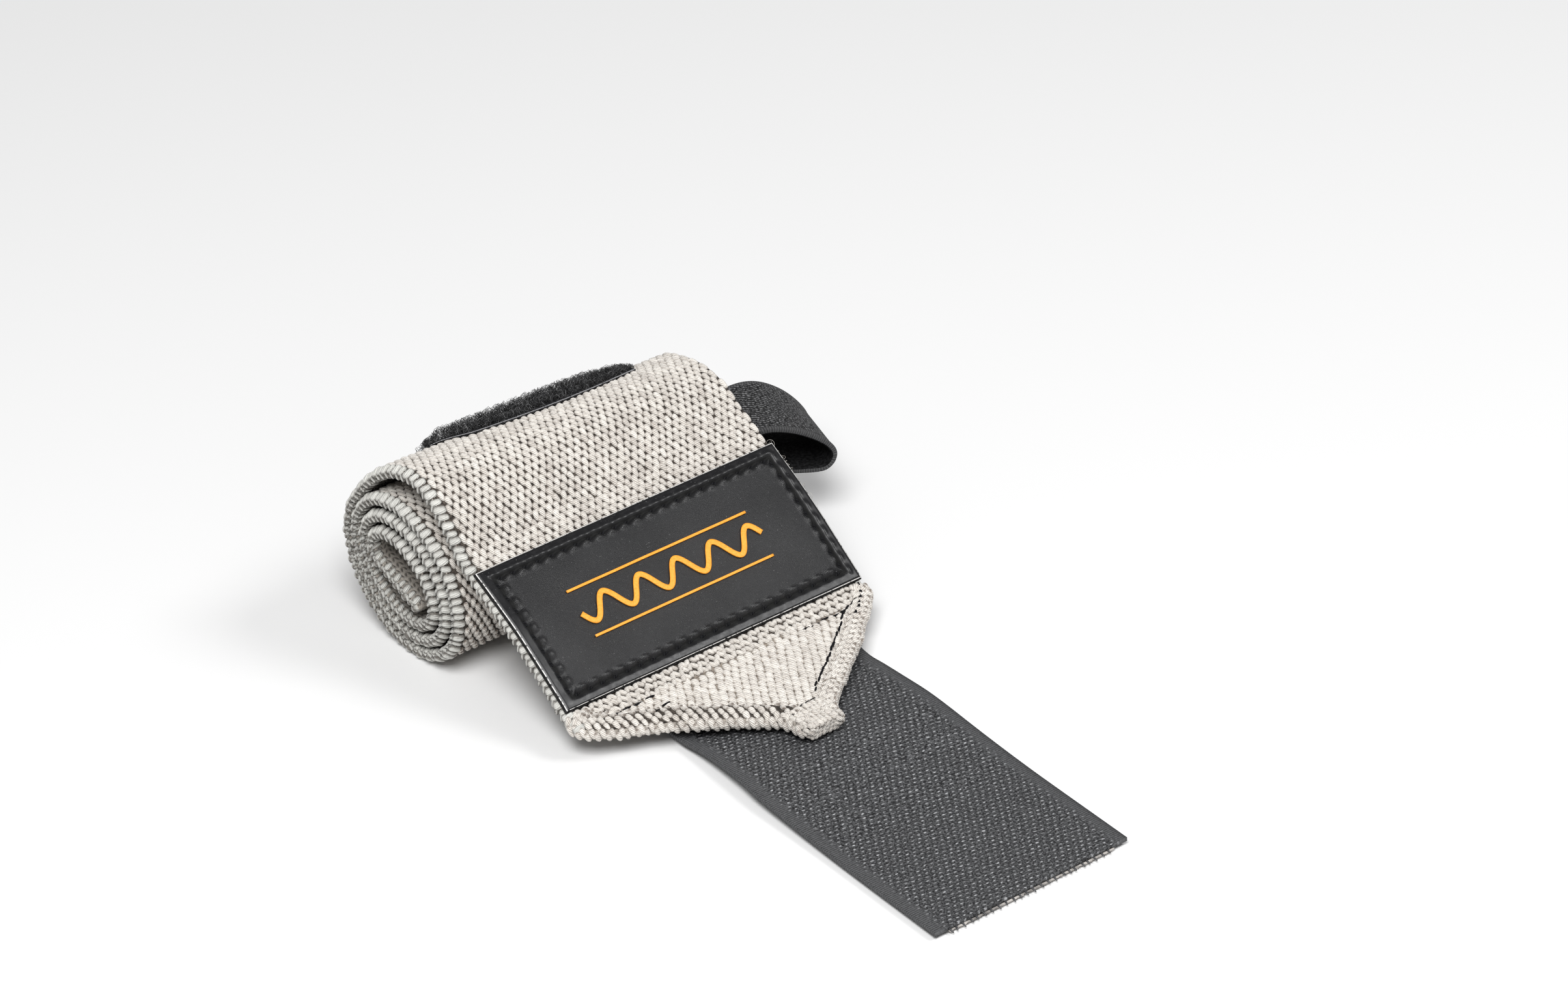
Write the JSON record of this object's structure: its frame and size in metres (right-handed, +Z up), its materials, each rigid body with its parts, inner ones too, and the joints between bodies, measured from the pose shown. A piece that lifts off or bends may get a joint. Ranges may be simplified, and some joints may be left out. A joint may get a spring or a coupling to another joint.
{
  "type": "wrist wrap",
  "caption": "Rolled elastic wrist wrap with a sewn label patch, folded point, hook strap, loop pad and thumb loop, lying on a table.",
  "frame": {"origin": "centre of the bottom of the bounding box of the wrap as it lies on the table", "axes": "+X along the roll's axis towards the end with the thumb loop, -Y the way the flap and hook strap run out, +Z up from the table"},
  "size_m": [0.108, 0.17, 0.0428],
  "materials": {
    "knit_elastic": "coarse ribbed knit, light warm grey",
    "patch_leather": "fine-grained black imitation leather, satin",
    "loop_pile": "fuzzy black looped pile",
    "hook_tape": "charcoal woven tape, hooks underneath",
    "loop_tape": "dark grey woven elastic tape"
  },
  "bodies": {
    "root": {"elastic_band": "knit_elastic", "label_patch": "patch_leather", "loop_pad": "loop_pile", "hook_strap": "hook_tape", "thumb_loop": "loop_tape"}
  },
  "joints": []
}
